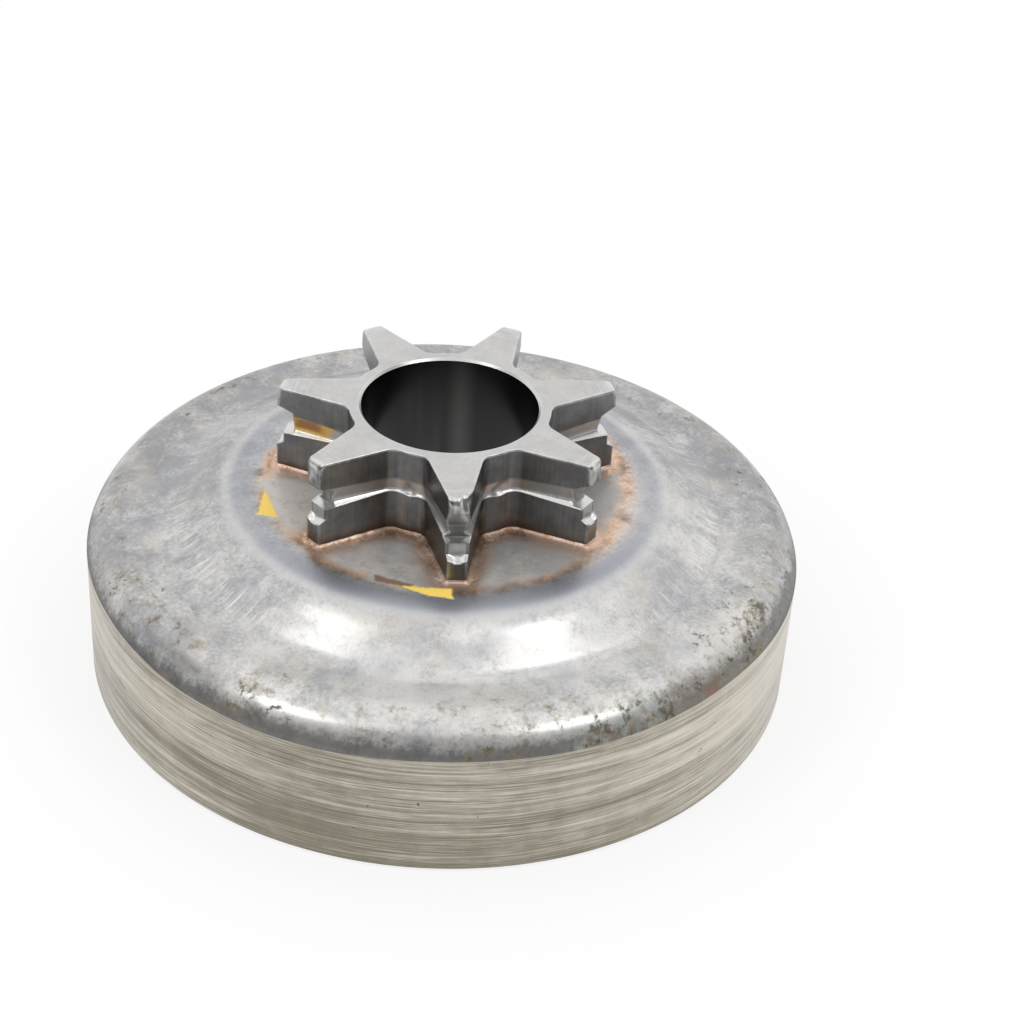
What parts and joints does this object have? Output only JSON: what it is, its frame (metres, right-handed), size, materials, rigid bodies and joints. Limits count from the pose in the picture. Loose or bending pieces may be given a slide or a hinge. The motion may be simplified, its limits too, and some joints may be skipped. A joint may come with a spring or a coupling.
{
  "type": "chainsaw clutch drum with spur sprocket",
  "caption": "Used steel clutch drum of a chainsaw: a drawn cup with a turned side band and a raised boss, carrying a brazed-on spur sprocket whose teeth are worn by the chain.",
  "frame": {"origin": "centre of the open rim, on the plane that the drum rests on", "axes": "+Z along the drum's axis, from the open rim to the sprocket; -Y through the middle of one tooth"},
  "size_m": [0.0654, 0.0654, 0.026],
  "materials": {
    "drum_steel": "used drawn steel, stained and pitted on top, turned on the side",
    "sprocket_steel": "machined steel, bright at the worn edges",
    "copper_braze": "dull copper braze"
  },
  "bodies": {
    "root": {"clutch_drum": "drum_steel", "spur_sprocket": "sprocket_steel", "braze_fillet": "copper_braze"}
  },
  "joints": []
}
